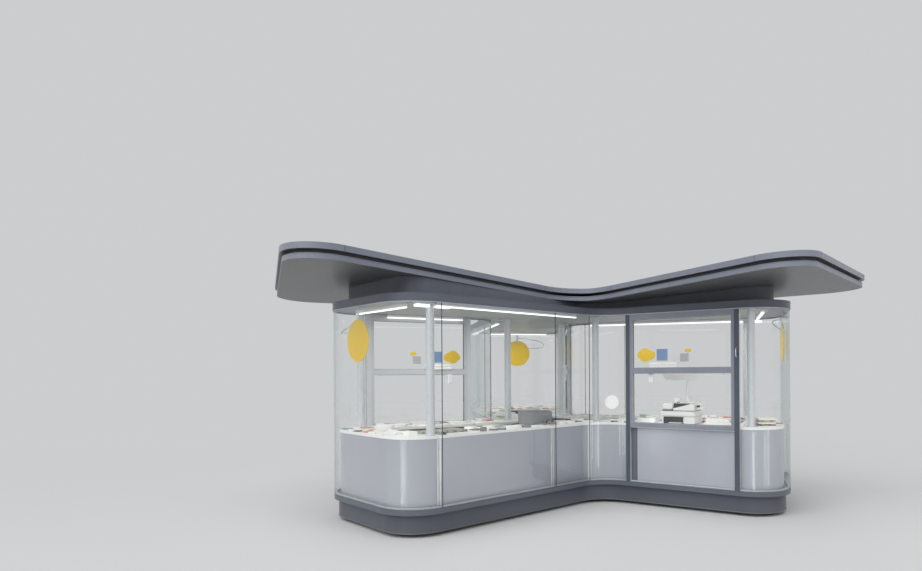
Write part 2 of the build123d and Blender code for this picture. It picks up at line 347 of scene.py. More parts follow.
def blockedPaper(name, rough, share):
    # Paper in the colour that each sheet carries, with soft blocks that lean to one pale tone by a share
    f = Finish(name)
    look = paperLook
    sheet = f.node("VertexColor", {"layer_name": "sheetTone"})
    sockets = {"Vector": f.place(look["cells"]), "Scale": 1.0}
    blocks = f.between(f.node("TexVoronoi", {"distance": "CHEBYCHEV"}, sockets), *look["blockMask"])
    return f.coat(Base_Color=f.blend(blocks * share, sheet, colour(*look["blockTone"])), Roughness=rough)


finishes = {
    "frame_steel": satinPaint("galvanizedFrame", colour(92, 94, 98), colour(70, 72, 76), 0.5, dust=0.3),
    "grey_paint": satinPaint("greySatinPaint", colour(94, 98, 109), colour(82, 86, 96), 0.34, dust=0.2),
    # Skirt paint: darker than the grey paint, painted shade under the ledge
    "skirt_shade_paint": satinPaint("skirtShadePaint", colour(74, 78, 90), colour(64, 68, 80), 0.38, dust=0.1),
    # Roof paint: its under tone is painted shade on the soffit and every other face that looks down
    "roof_paint": satinPaint(
        "roofSatinPaint", colour(126, 130, 142), colour(113, 117, 129), 0.38, wave=0.002,
        under=colour(80, 80, 82),
    ),
    # Groove paint: darker than the roof paint, painted shade in the groove between the lips
    "groove_paint": satinPaint("grooveShadePaint", colour(74, 76, 84), colour(60, 62, 69), 0.5),
    "floor": plainPlastic("ribbedFloor", colour(172, 170, 162), colour(138, 136, 130), 0.55, 0.5),
    "white_panel": sheetPanel("paleSheetPanel", colour(184, 187, 194), colour(164, 167, 176), 0.22),
    "worktop": plainPlastic("whiteWorktop", colour(243, 243, 240), colour(226, 227, 224), 0.3, 0.25),
    "clear_glass": clearGlass("clearSheetGlass"),
    # Window frames and posts: the outer tones are painted shade, the inner tone is painted light from inside
    "window_frame": postPaintLitShaded(
        "windowPaintLitShaded", colour(140, 144, 154), colour(126, 130, 140), colour(208, 211, 214)
    ),
    "channel": brushedMetal("paleAluminium", colour(184, 188, 196), colour(164, 168, 176), 0.32, 0.35),
    "post_paint": postPaintLitShaded("postPaintLitShaded", colour(82, 90, 101), colour(68, 76, 87), colour(218, 221, 223)),
    "column_paint": brushedMetal("paleTube", colour(224, 228, 230), colour(206, 211, 215), 0.22, 0.5),
    "ceiling_white": plainPlastic("ceilingWhite", colour(178, 183, 180), colour(158, 163, 160), 0.5, 0.2),
    "light": litPlastic("litTube", colour(246, 250, 248), colour(250, 253, 255)),
    "yellow_sign": plainPlastic("yellowSign", colour(240, 200, 0), colour(228, 186, 0), 0.28, 0.1),
    "flange": sheetPanel("paleFlange", colour(236, 238, 239), colour(220, 223, 225), 0.25),
    "apron_dark_strip": satinPaint("apronDarkStrip", colour(98, 101, 113), colour(86, 89, 101), 0.3),
    "box_paint": satinPaint("boxPaint", colour(134, 138, 140), colour(118, 122, 125), 0.4),
}
slotOf = {entry["node"]: entry["material_slot"] for entry in frame["record"]["subparts"]}
slotOf["skirt"] = "skirt_shade_paint"        # painted shade: the set-back skirt gets a darker paint than the ledge over it
for name, node in nodes.items():
    for materialSlot in node.material_slots:
        materialSlot.material = finishes[slotOf[name]]
print("finishes:", len(finishes), "on", len(nodes), "nodes")


# Plan lines, in metres. A corner is (point, heading in, heading out, bend radius).

bodyPlan = {
    "longSide": 2.906, "armEnd": 1.922, "bay": 1.373, "valleyMargin": 0.060, "noseMargin": 0.012,
    "longHeading": 45.0, "turns": (75.0, 105.0), "cornerRadius": 0.454, "valleyRadius": 0.400,
    "jointPastBend": 0.008, "sideJoint": 2.113, "panelInset": 0.070, "glassWall": 0.012, "postWidth": 0.053,
    "columnRadius": 0.044, "columnInset": 0.165, "heelColumn": 0.428, "noseColumnPast": 0.098,
}
roofPlan = {
    "sides": (3.850, 3.074, 3.379), "heading": 46.4, "turns": (98.2, 106.1), "radii": (0.400, 0.520),
    "rootLevel": 2.531, "root": 0.400, "wingHeading": -6.0, "wingAngle": 2.7, "lowerLip": 0.052,
    "groove": 0.036, "upperLip": 0.058, "lowerInset": 0.025,
}
bendStep = 5.0        # degrees between the points of a bend
leastRadius = 0.002        # a bend that an inset would close keeps this radius
tiny = 1e-9        # stands in for 0 where a number divides


def unit(angle):
    # (cos a, sin a) for an angle in degrees
    return np.array([math.cos(math.radians(angle)), math.sin(math.radians(angle))])


def circle(count):
    # (cos t, sin t) at even angles round a full turn
    angles = np.linspace(0, 2 * math.pi, count, endpoint=False)
    return np.stack([np.cos(angles), np.sin(angles)], axis=1)


def turned(points, angle):
    # Points (x, y, ...) turned about the origin: x cos a - y sin a, x sin a + y cos a
    out = np.array(points, dtype=float)
    c, s = unit(angle)
    out[..., 0], out[..., 1] = c * out[..., 0] - s * out[..., 1], s * out[..., 0] + c * out[..., 1]
    return out


def planCorners(sides, firstHeading, turns, radii):
    # Heel, valley and nose of each third. The heel is the chord of the three sides, turned and divided by
    # the root of 3, so that the three thirds close round the origin.
    headings = [firstHeading, firstHeading - turns[0], firstHeading - turns[0] + turns[1]]
    chord = sum(unit(h) * s for h, s in zip(headings, sides))
    heel = turned(chord, (180 - third) / 2) * (-1 / math.sqrt(3))
    valley = heel + unit(headings[0]) * sides[0]
    nose = valley + unit(headings[1]) * sides[1]
    rows = [
        (heel, headings[2] - third, headings[0], radii[0]),
        (valley, headings[0], headings[1], radii[1]),
        (nose, headings[1], headings[2], radii[0]),
    ]
    turns = [third * k for k in range(3)]
    return [(turned(p, turn), a + turn, b + turn, r) for turn in turns for p, a, b, r in rows]


def onBend(corner, inset, share):
    # Arc of a corner moved inwards: c + r (cos t, sin t), t even between both headings, share from 0 to 1
    point, before, after, radius = corner
    left = unit(before + 90) + unit(after + 90)
    moved = point + left * (inset / (1 + unit(before + 90) @ unit(after + 90)))
    turn = after - before
    hand = math.copysign(1, turn)
    reach = max(radius - hand * inset, leastRadius)
    tangent = reach * math.tan(math.radians(abs(turn) / 2))
    centre = moved - unit(before) * tangent + unit(before + 90 * hand) * reach
    heading = before + turn * np.asarray(share)
    angles = np.radians(heading - 90 * hand)
    return centre + reach * np.stack([np.cos(angles), np.sin(angles)], axis=-1), heading


def bend(corner, inset):
    # Points of one bend at even shares from 0 to 1, about one for each step of its turn
    turn = abs(corner[2] - corner[1])
    return onBend(corner, inset, np.linspace(0, 1, max(int(turn / bendStep), 2) + 1))[0]


def planLine(corners, inset):
    # Closed line at an inset: the bends one after another, joined by straight sides
    return np.concatenate([bend(corner, inset) for corner in corners])


valleyTangent = bodyPlan["valleyRadius"] * math.tan(math.radians(bodyPlan["turns"][0] / 2))
noseTangent = bodyPlan["cornerRadius"] * math.tan(math.radians(bodyPlan["turns"][1] / 2))
postStart = valleyTangent + bodyPlan["valleyMargin"]
postEnd = postStart + bodyPlan["bay"]
shortSide = postEnd + bodyPlan["noseMargin"] + noseTangent
heelJoint = bodyPlan["cornerRadius"] + bodyPlan["jointPastBend"]
body = planCorners(
    (bodyPlan["longSide"], shortSide, bodyPlan["armEnd"]), bodyPlan["longHeading"], bodyPlan["turns"],
    (bodyPlan["cornerRadius"], bodyPlan["valleyRadius"]),
)
roof = planCorners(roofPlan["sides"], roofPlan["heading"], roofPlan["turns"], roofPlan["radii"])
sideStart = {"long": 0, "short": 1, "end": 2}        # corner of a third at which each side starts


def side(kind, index, along, inset):
    # Points start + along * u + inset * v on one side of third index, and the heading of that side
    corner = body[3 * index + sideStart[kind]]
    start, heading = corner[0], corner[2]
    along, inset = np.asarray(along)[..., None], np.asarray(inset)[..., None]
    return start + unit(heading) * along + unit(heading + 90) * inset, heading


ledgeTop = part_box("ledge")[1][2]
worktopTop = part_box("worktop_east")[1][2]
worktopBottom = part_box("worktop_east")[0][2]
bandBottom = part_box("fascia_band")[0][2]
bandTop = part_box("fascia_band")[1][2]
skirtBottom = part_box("skirt")[0][2]
glassHeight = bandBottom - ledgeTop
print("plan:", len(body), "corners, worktop at", round(worktopTop, 3))


# Surfaces: every maker returns (points, faces) and makePiece joins them

arcStops = 4        # points of each rounded corner
cornerShare = 1.5        # corner radius of a rounded box over the width of its edge
edgeLimit = 0.45        # an edge is never more than this share of the smallest size
sharpAngle = 35.0        # degrees from which an edge is shaded sharp


def grid(rows, columns, closeRows=False):
    # Quads (i, j) (i+1, j) (i+1, j+1) (i, j+1) over a grid whose columns run round
    i, j = np.meshgrid(np.arange(rows if closeRows else rows - 1), np.arange(columns), indexing="ij")
    i, j = i.ravel(), j.ravel()
    nextI, nextJ = (i + 1) % rows, (j + 1) % columns
    corners = [i * columns + j, nextI * columns + j, nextI * columns + nextJ, i * columns + nextJ]
    return np.stack(corners, 1).tolist()


def caps(rows, columns):
    # The first and the last row, each as one face
    return [list(range(columns)), list(range((rows - 1) * columns, rows * columns))]


def quarterArc():
    # (cos t, sin t) at even angles from 0 to 90 degrees
    angles = np.radians(np.linspace(0, 90, arcStops))
    return np.stack([np.cos(angles), np.sin(angles)], axis=1)


def rounded(outLow, outHigh, upLow, upHigh, radius):
    # Closed rectangular profile: a quarter arc round each of four centres, turned by 90 degrees each time
    arc = quarterArc() * radius
    centres = [
        (outHigh - radius, upHigh - radius), (outLow + radius, upHigh - radius),
        (outLow + radius, upLow + radius), (outHigh - radius, upLow + radius),
    ]
    return np.concatenate([turned(arc, 90 * k) + centre for k, centre in enumerate(centres)])


def level(line, z):
    # Points of a plan line, all at height z
    return np.column_stack([line, np.full(len(line), z)])


def sweep(path, profile, closed=True):
    # path(s) + out(t) * normal(s), height z(s) + up(t): a closed profile carried along a plan line
    path = np.asarray(path, dtype=float)
    if closed:
        ahead = np.roll(path, -1, axis=0) - np.roll(path, 1, axis=0)
    else:
        ahead = np.gradient(path, axis=0)
    ahead = ahead[:, :2] / np.linalg.norm(ahead[:, :2], axis=1, keepdims=True)
    normal = np.stack([ahead[:, 1], -ahead[:, 0]], axis=1)
    out, up = np.asarray(profile, dtype=float).T
    points = np.empty((len(path), len(out), 3))
    points[..., :2] = path[:, None, :2] + normal[:, None, :] * out[None, :, None]
    points[..., 2] = path[:, None, 2] + up[None, :]
    faces = grid(len(path), len(out), closed)
    return points.reshape(-1, 3), faces if closed else faces + caps(len(path), len(out))


def block(place, size, angle, edge):
    # Rounded box: a rounded rectangle carried up through four insets, its base centre at place
    width, depth, height = size
    edge = min(edge, edgeLimit * min(size))
    corner = edge * cornerShare
    arcs = np.concatenate([turned(quarterArc(), 90 * k) for k in range(4)])
    hands = np.repeat([[1, 1], [-1, 1], [-1, -1], [1, -1]], arcStops, axis=0)
    centres = hands * (np.array([width / 2, depth / 2]) - corner)
    count = len(arcs)
    rings = [
        np.column_stack([centres + arcs * (corner - inset), np.full(count, z)])
        for inset, z in ((edge, 0.0), (0.0, edge), (0.0, height - edge), (edge, height))
    ]
    points = turned(np.concatenate(rings), angle) + np.array(place)
    return points, grid(len(rings), count) + caps(len(rings), count)


def lathe(place, profile, sides):
    # (r cos t, r sin t, z) round an upright axis; the profile is a closed loop of (r, z)
    across, up = circle(sides).T[..., None]
    radius, height = np.asarray(profile, dtype=float).T
    points = np.stack([radius * across, radius * up, height + 0 * up], axis=2)
    return points.reshape(-1, 3) + np.array(place), grid(sides, len(radius), True)


def tube(path, radius, sides, closed=False):
    # path(s) + r (cos t * u(s) + sin t * v(s)), with u and v square to the path
    path = np.asarray(path, dtype=float)
    ahead = np.roll(path, -1, axis=0) - np.roll(path, 1, axis=0) if closed else np.gradient(path, axis=0)
    ahead /= np.linalg.norm(ahead, axis=1, keepdims=True)
    spare = np.eye(3)[np.argmin(np.abs(ahead).max(axis=0))]
    across = np.cross(ahead, spare)
    across /= np.linalg.norm(across, axis=1, keepdims=True)
    up = np.cross(across, ahead)
    cosines, sines = circle(sides).T[..., None]
    points = path[:, None] + radius * (cosines * across[:, None] + sines * up[:, None])
    faces = grid(len(path), sides, closed)
    return points.reshape(-1, 3), faces if closed else faces + caps(len(path), sides)


def prism(place, outline, depth, angle):
    # Outline (along, up) pushed back by depth, its front face at place
    outline = np.asarray(outline, dtype=float)
    points = np.empty((2, len(outline), 3))
    points[..., 0] = outline[:, 0]
    points[..., 1] = np.array([0.0, depth])[:, None]
    points[..., 2] = outline[:, 1]
    points = turned(points.reshape(-1, 3), angle) + np.array(place)
    return points, grid(2, len(outline)) + caps(2, len(outline))


def makePiece(name, shapes, slotName, finish=None, tones=None):
    # Joins shapes into one mesh whose place is in its points, faces outward, riding on the kiosk. It wears
    # its slot's finish unless another is given, and each shape's points carry that shape's tone.
    points, faces, shades, start = [], [], [], 0
    for number, (shapePoints, shapeFaces) in enumerate(shapes):
        points.append(np.asarray(shapePoints))
        faces += [[start + corner for corner in face] for face in shapeFaces]
        if tones:
            shades.append(np.tile(tones[number], (len(shapePoints), 1)))
        start += len(shapePoints)
    mesh = bpy.data.meshes.new(name)
    mesh.from_pydata(np.concatenate(points).tolist(), [], faces)
    work = bmesh.new()
    work.from_mesh(mesh)
    bmesh.ops.recalc_face_normals(work, faces=work.faces)
    work.to_mesh(mesh)
    work.free()
    mesh.shade_smooth()
    mesh.set_sharp_from_angle(angle=math.radians(sharpAngle))
    if tones:
        layer = mesh.color_attributes.new("sheetTone", "FLOAT_COLOR", "POINT")
        layer.data.foreach_set("color", np.concatenate(shades).astype(np.float32).ravel())
    mesh.materials.append(finish or finishes[slotName])
    piece = bpy.data.objects.new(name, mesh)
    bpy.context.collection.objects.link(piece)
    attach(piece, "root")


# Trims round the whole plan

trims = {
    "headHeight": 0.013, "headProud": 0.005, "headEdge": 0.0018, "footWidth": 0.016, "footHeight": 0.020,
    "footEdge": 0.003, "footGap": 0.001, "faceGap": 0.0005, "skirtInset": 0.050, "skirtBead": 0.005,
    "bandProud": 0.008, "bandBead": 0.003, "bandLift": 0.004, "beadSides": 10,
}


def makeTrims():
    # Rounded channels and round beads carried along the plan line, each at its own inset and height
    gap = trims["faceGap"]
    head = rounded(gap, trims["headProud"], -trims["headHeight"], -gap, trims["headEdge"])
    foot = rounded(-trims["footWidth"], 0.0, 0.0, trims["footHeight"], trims["footEdge"])
    bead = circle(trims["beadSides"])
    faceLine = planLine(body, 0.0)
    footLine = planLine(body, bodyPlan["glassWall"] + trims["footGap"])
    skirtLine = planLine(body, trims["skirtInset"])
    bandLine = planLine(body, -trims["bandProud"])
    channel = finishes["channel"]
    makePiece("head_channel", [sweep(level(faceLine, bandBottom), head)], "window_frame", channel)
    makePiece("foot_channel", [sweep(level(footLine, ledgeTop), foot)], "window_frame", channel)
    hemLine = level(skirtLine, skirtBottom + trims["skirtBead"])
    makePiece("skirt_hem", [sweep(hemLine, bead * trims["skirtBead"])], "grey_paint")
    heights = (bandBottom + trims["bandLift"], bandTop - trims["bandLift"])
    beads = [sweep(level(bandLine, z), bead * trims["bandBead"]) for z in heights]
    makePiece("band_hems", beads, "grey_paint")


joints = {
    "sideStops": (heelJoint, bodyPlan["sideJoint"]), "glassShare": 0.21, "panelShare": 0.27,
    "footGap": 0.002, "lineSize": (0.005, 0.0020), "lineProud": 0.0002, "lineEdge": 0.0005,
    "flangeSize": (0.018, 0.0026), "flangeProud": 0.0006, "flangeGap": 0.0125, "edge": 0.001,
    "sealWidth": 0.005, "sealDepth": 0.010, "windowSealWidth": 0.0026, "windowSealGap": 0.0015,
}


def jointSpots(index, inset, share):
    # Joints of one third: two along the long side and one at a share of the valley bend
    spots = [side("long", index, along, inset) for along in joints["sideStops"]]
    return spots + [onBend(body[3 * index + 1], inset, share)]


def panelJoint(spot, angle):
    # Dark line proud of the panel face, with a pale flange on each side of it
    foot = ledgeTop + joints["footGap"]
    height = worktopBottom - joints["footGap"] - foot
    out, along = unit(angle - 90), unit(angle)
    place = spot + out * joints["lineProud"]
    line = block((*place, foot), (*joints["lineSize"], height), angle, joints["lineEdge"])
    flanges = []
    for hand in (-1, 1):
        place = spot + along * joints["flangeGap"] * hand + out * joints["flangeProud"]
        flanges.append(block((*place, foot), (*joints["flangeSize"], height), angle, joints["edge"]))
    return line, flanges


def makeSeals():
    # Dark seals in the glass joints and beside the posts, lines and pale flanges at the panel joints
    seals, flanges = [], []

    def addSeal(spot, angle, width):
        size = (width, joints["sealDepth"], glassHeight)
        seals.append(block((*spot, ledgeTop), size, angle, joints["edge"]))

    middleInset = bodyPlan["glassWall"] / 2
    for index in range(3):
        for spot, angle in jointSpots(index, middleInset, joints["glassShare"]):
            addSeal(spot, angle, joints["sealWidth"])
        for spot, angle in jointSpots(index, bodyPlan["panelInset"], joints["panelShare"]):
            line, pair = panelJoint(spot, angle)
            seals.append(line)
            flanges += pair
        for along in (postStart - joints["windowSealGap"], postEnd + joints["windowSealGap"]):
            spot, angle = side("short", index, along, middleInset)
            addSeal(spot, angle, joints["windowSealWidth"])
    makePiece("glass_seals", seals, "groove_paint", darkRubber)
    makePiece("panel_joint_flanges", flanges, "white_panel", finishes["flange"])


darkRubber = plainPlastic("darkRubber", colour(52, 55, 60), colour(38, 40, 44), 0.55, 0.2)
makeTrims()
makeSeals()
print("trims and seals")


# Columns: collars at the ledge, the worktop and the band

collars = {"gap": 0.0006, "out": 0.012, "height": 0.014, "edge": 0.004, "lift": 0.0003, "sides": 40}


def columnSpots():
    # Heel, nose and valley column of each third. The valley's is the mean of three places on its inner arc.
    spots = []
    inset = bodyPlan["columnInset"]
    for index in range(3):
        sharpValley = (*body[3 * index + 1][:3], 0.0)
        spots.append(side("long", index, bodyPlan["heelColumn"], inset)[0])
        spots.append(side("short", index, postEnd + bodyPlan["noseColumnPast"], inset)[0])
        spots.append(onBend(sharpValley, inset, [0.0, 0.5, 1.0])[0].mean(axis=0))
    return spots


def makeCollars():
    # Rounded rings round each column, turned upside down under the band
    radius = bodyPlan["columnRadius"] + collars["gap"]
    rings = []
    for spot in columnSpots():
        for z, hand in ((ledgeTop, 1), (worktopTop, 1), (bandBottom, -1)):
            ring = rounded(radius, radius + collars["out"], 0.0, collars["height"], collars["edge"])
            ring[:, 1] *= hand
            rings.append(lathe((*spot, z + hand * collars["lift"]), ring, collars["sides"]))
    makePiece("column_collars", rings, "column_paint")


makeCollars()
print("columns")


# Serving windows: sashes, gaskets, catches, a drip sill, a curved pull and dark strips beside the aprons

window = {
    "sillTop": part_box("window_glass_east")[0][2], "headBottom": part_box("window_glass_east")[1][2],
    "sillBottom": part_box("window_apron_east")[1][2], "transomBottom": 1.640, "transomTop": 1.700,
    "bar": 0.034, "edge": 0.0015, "sashBar": 0.005, "sashDepth": 0.0155, "sashInsets": (0.0095, 0.0345),
    "gasket": 0.002, "gasketDepth": 0.006, "gasketInsets": (0.0195, 0.0345), "sillDepth": 0.030,
    "sillHeight": 0.004, "catchStops": (0.22, 0.10), "catchInset": 0.062, "catchDrop": 0.024,
    "catchSize": (0.014, 0.012, 0.022), "catchEdge": 0.004, "stripWidth": 0.078, "stripInset": 0.038,
    "stripWall": 0.003, "stripGap": 0.001,
}
pull = {"postInset": 0.026, "proud": 0.008, "reach": 0.030, "middle": 1.868, "rise": 0.052, "radius": 0.006,
        "stops": 17, "sides": 12}


def frameLine(index, first, last, low, high, bar, outer, depth):
    # Rectangular frame standing in a window bay: four rounded bars between along and level limits
    shapes = []
    for a, b, z, top in (
        (first, last, low, low + bar), (first, last, high - bar, high),
        (first, first + bar, low + bar, high - bar), (last - bar, last, low + bar, high - bar),
    ):
        middle, angle = side("short", index, (a + b) / 2, outer + depth / 2)
        shapes.append(block((*middle, z), (b - a, depth, top - z), angle, window["edge"]))
    return shapes


def pullPath(index):
    # Bow on the right post: inset -proud - reach sin t, height middle + rise cos t, for t from 0 to pi
    t = np.linspace(0, math.pi, pull["stops"])
    along = np.full(pull["stops"], postEnd - pull["postInset"])
    line = side("short", index, along, -pull["proud"] - pull["reach"] * np.sin(t))[0]
    return np.column_stack([line, pull["middle"] + pull["rise"] * np.cos(t)])


def makeWindow(index, arm):
    # Two panes, each with a sash and gaskets on both faces, then the sill, the catches and the pull
    first = postStart + bodyPlan["postWidth"] + window["bar"]
    last = postEnd - bodyPlan["postWidth"] - window["bar"]
    bar = window["sashBar"]
    sashes, gaskets, hardware = [], [], []
    for low, high in (
        (window["sillTop"], window["transomBottom"]), (window["transomTop"], window["headBottom"])
    ):
        for outer in window["sashInsets"]:
            sashes += frameLine(index, first, last, low, high, bar, outer, window["sashDepth"])
        for outer in window["gasketInsets"]:
            gaskets += frameLine(
                index, first + bar, last - bar, low + bar, high - bar, window["gasket"], outer,
                window["gasketDepth"],
            )
    sill, angle = side("short", index, (postStart + postEnd) / 2, 0.0)
    size = (bodyPlan["bay"] - 2 * bodyPlan["postWidth"], window["sillDepth"], window["sillHeight"])
    sashes.append(block((*sill, window["sillBottom"] - window["sillHeight"]), size, angle, window["edge"]))
    for along in (first + window["catchStops"][0], last - window["catchStops"][1]):
        spot, angle = side("short", index, along, window["catchInset"])
        foot = window["transomBottom"] - window["catchDrop"]
        hardware.append(block((*spot, foot), window["catchSize"], angle, window["catchEdge"]))
    hardware.append(tube(pullPath(index), pull["radius"], pull["sides"]))
    makePiece("window_sash_" + arm, sashes, "window_frame")
    makePiece("window_gasket_" + arm, gaskets, "groove_paint", darkRubber)
    makePiece("window_catch_" + arm, hardware, "window_frame", finishes["column_paint"])


def makeApronDarkStrips():
    # Flat dark strip beside each apron, next to its first post, from the ledge to the sill
    gap = window["stripGap"]
    size = (window["stripWidth"], window["stripWall"], window["sillBottom"] - ledgeTop - 2 * gap)
    along = postStart + bodyPlan["postWidth"] + window["stripWidth"] / 2
    strips = []
    for index in range(3):
        spot, angle = side("short", index, along, window["stripInset"])
        strips.append(block((*spot, ledgeTop + gap), size, angle, window["stripGap"]))
    makePiece("apron_dark_strips", strips, "post_paint", finishes["apron_dark_strip"])


for index, arm in enumerate(arms):
    makeWindow(index, arm)
makeApronDarkStrips()
print("windows")


# Round signs: a rim and the bent rods that carry each disc from the band

signs = {
    "radius": 0.227, "middle": 2.008, "inset": 0.0445, "rim": 0.0035, "rimStops": 72, "rimSides": 8,
    "rod": 0.0055, "rodStops": 70, "rodSides": 12,
    # Bend points of the rod: along from the disc's middle, inset, height
    "bends": (
        (-0.13, 0.0530, 2.100), (-0.30, 0.056, 2.102), (-0.42, 0.068, 2.108), (-0.470, 0.110, 2.135),
        (-0.455, 0.165, 2.180), (-0.37, 0.190, 2.225), (-0.20, 0.150, 2.262), (-0.008, 0.0575, 2.285),
    ),
}


def smoothLine(stops, count):
    # Cubic curve through the stops a, b, c, d, even in its parameter: between b and c it is half of
    # 2b + (c - a) u + (2a - 5b + 4c - d) u^2 + (3b - a - 3c + d) u^3
    stops = np.concatenate([stops[:1] * 2 - stops[1:2], stops, stops[-1:] * 2 - stops[-2:-1]])
    t = np.linspace(0, len(stops) - 3, count)
    k = np.minimum(t.astype(int), len(stops) - 4)
    u = (t - k)[:, None]
    a, b, c, d = stops[k], stops[k + 1], stops[k + 2], stops[k + 3]
    second, cube = 2 * a - 5 * b + 4 * c - d, 3 * b - a - 3 * c + d
    return 0.5 * (2 * b + (c - a) * u + second * u ** 2 + cube * u ** 3)


def makeSigns():
    # Rim: a tube on (middle + r cos t, height + r sin t) in the end's plane. Rod: a tube on its smooth line.
    rims, rods = [], []
    middle = bodyPlan["armEnd"] / 2
    across, up = circle(signs["rimStops"]).T * signs["radius"]
    inset = np.full(signs["rimStops"], signs["inset"])
    for index in range(3):
        line = side("end", index, middle + across, inset)[0]
        path = np.column_stack([line, signs["middle"] + up])
        rims.append(tube(path, signs["rim"], signs["rimSides"], True))
        along, rodInset, height = smoothLine(np.array(signs["bends"]), signs["rodStops"]).T
        path = np.column_stack([side("end", index, middle + along, rodInset)[0], height])
        rods.append(tube(path, signs["rod"], signs["rodSides"]))
    makePiece("sign_rims", rims, "yellow_sign")
    makePiece("sign_rods", rods, "column_paint")


makeSigns()
print("signs")


# Roof: beads along both lips, joints in the upper one, and raised seams on the sheets

roofTrim = {
    "bead": 0.0045, "beadSides": 10, "beadLift": 0.003, "soffitBeadLift": 0.004, "step": 0.06,
    "jointWidth": 0.004, "jointProud": 0.0012, "jointSink": 0.0002, "jointGap": 0.004, "jointEdge": 0.0004,
    "seamWidth": 0.030, "seamHeight": 0.010, "seamSink": 0.002, "seamEdge": 0.004, "seamStops": 12,
    "seamStart": 0.520, "seamSpread": (-1.24, -0.62, 0.0), "edgeGap": 0.24,
}
lipTop = roofPlan["rootLevel"] + roofPlan["lowerLip"]
deckLow = lipTop + roofPlan["groove"]
deckTop = deckLow + roofPlan["upperLip"]


def wingRise(spots):
    # Height gained over the level middle: tan(a) * (distance along the nearest wing - root), never below 0
    axes = np.stack([unit(roofPlan["wingHeading"] + third * k) for k in range(3)])
    past = np.asarray(spots)[..., :2] @ axes.T - roofPlan["root"]
    return np.maximum(past.max(axis=-1), 0) * math.tan(math.radians(roofPlan["wingAngle"]))


def onRoof(line, base):
    # Points of a plan line at height base + the rise of the wing under each
    return np.column_stack([line, base + wingRise(line)])


def resample(line, step):
    # Even points along a closed line, by its running length
    line = np.concatenate([line, line[:1]])
    run = np.concatenate([[0], np.cumsum(np.linalg.norm(np.diff(line, axis=0), axis=1))])
    stops = np.linspace(0, run[-1], max(int(run[-1] / step), 2) + 1)
    even = np.stack([np.interp(stops, run, line[:, axis]) for axis in range(line.shape[1])], axis=1)
    return even[:-1]


def crossings(start, ahead, line):
    # Distances along a ray where it enters a closed line (0 when it starts inside) and where it leaves
    a, b = line, np.roll(line, -1, axis=0)
    edge = b - a
    cross = ahead[0] * edge[:, 1] - ahead[1] * edge[:, 0]
    cross[np.abs(cross) < tiny] = tiny
    gap = a - start
    far = (gap[:, 0] * edge[:, 1] - gap[:, 1] * edge[:, 0]) / cross
    share = (gap[:, 0] * ahead[1] - gap[:, 1] * ahead[0]) / cross
    stops = np.sort(far[(share >= 0) & (share < 1) & (far > 0)])
    return (stops[-2] if len(stops) % 2 == 0 else 0.0), stops[-1]


def makeRoofBeads():
    # Round beads along the foot of the upper lip and both edges of the lower lip
    bead = circle(roofTrim["beadSides"]) * roofTrim["bead"]
    upper = resample(planLine(roof, roofTrim["bead"]), roofTrim["step"])
    lower = resample(planLine(roof, roofPlan["lowerInset"]), roofTrim["step"])
    lines = (
        (upper, deckLow + roofTrim["beadLift"]), (lower, lipTop - roofTrim["beadLift"]),
        (lower, roofPlan["rootLevel"] + roofTrim["soffitBeadLift"]),
    )
    makePiece("roof_edge_beads", [sweep(onRoof(line, z), bead) for line, z in lines], "roof_paint")


def makeLipJoints():
    # Thin upright lines in the upper lip, at both ends of each bend
    size = (roofTrim["jointWidth"], roofTrim["jointProud"], roofPlan["upperLip"] - 2 * roofTrim["jointGap"])
    lipJoints = []
    for corner in roof:
        arc = bend(corner, 0.0)
        for spot, angle in ((arc[0], corner[1]), (arc[-1], corner[2])):
            place = spot - unit(angle + 90) * roofTrim["jointSink"]
            foot = deckLow + wingRise(spot[None])[0] + roofTrim["jointGap"]
            lipJoints.append(block((*place, foot), size, angle, roofTrim["jointEdge"]))
    makePiece("roof_lip_joints", lipJoints, "groove_paint", darkRubber)


def makeRoofSeams():
    # Rounded caps that run down the slope of each wing, from edge to edge less a gap
    half = roofTrim["seamWidth"] / 2
    cap = rounded(-half, half, -roofTrim["seamSink"], roofTrim["seamHeight"], roofTrim["seamEdge"])
    edge = planLine(roof, 0.0)
    seams = []
    for index in range(3):
        heading = roofPlan["wingHeading"] + third * index
        for spread in roofTrim["seamSpread"]:
            start = unit(heading) * roofTrim["seamStart"] + unit(heading + 90) * spread
            entry, leave = crossings(start, unit(heading), edge)
            first = entry + (roofTrim["edgeGap"] if entry else 0.0)
            stops = np.linspace(first, leave - roofTrim["edgeGap"], roofTrim["seamStops"])
            seams.append(sweep(onRoof(start + unit(heading) * stops[:, None], deckTop), cap, False))
    makePiece("roof_seams", seams, "roof_paint")


makeRoofBeads()
makeLipJoints()
makeRoofSeams()
print("roof")


# Goods on the worktops: leaflets, stacks, a printer, a stand, a box, plain cards on the glass

goods = {
    "seed": 11, "pitch": 0.150, "rows": (0.148, 0.285, 0.420), "apart": 0.118, "clear": 0.075, "skip": 0.06,
    "thick": (0.002, 0.016), "edgeInset": 0.142, "backInset": 0.430, "shift": 0.02, "rowShift": 0.4,
    "swing": 18, "nudge": 0.005, "sheetGap": 0.0002, "lift": 0.0004, "sheetEdge": 0.0004, "stackEdge": 0.002,
    "stackRoom": 0.055, "printerRoom": (0.24, (-0.15, 0.0, 0.15)), "boxRoom": (0.20, (-0.12, 0.12)),
    "firstStop": 0.10, "lastStops": (("end", 1.80), ("long", 2.86), ("short", 2.20)),
    "papers": ((0.100, 0.125), (0.140, 0.110), (0.082, 0.120), (0.120, 0.095)),
    "under": (246, 245, 241),
    "tones": (
        (250, 250, 248), (247, 246, 240), (252, 252, 252), (240, 238, 226), (250, 250, 250), (232, 229, 214),
        (250, 249, 246), (206, 204, 196), (250, 250, 250), (70, 74, 84), (244, 243, 238), (176, 168, 134),
        (252, 252, 252), (206, 116, 84), (246, 246, 244), (116, 138, 168), (250, 250, 250), (142, 164, 116),
    ),
}
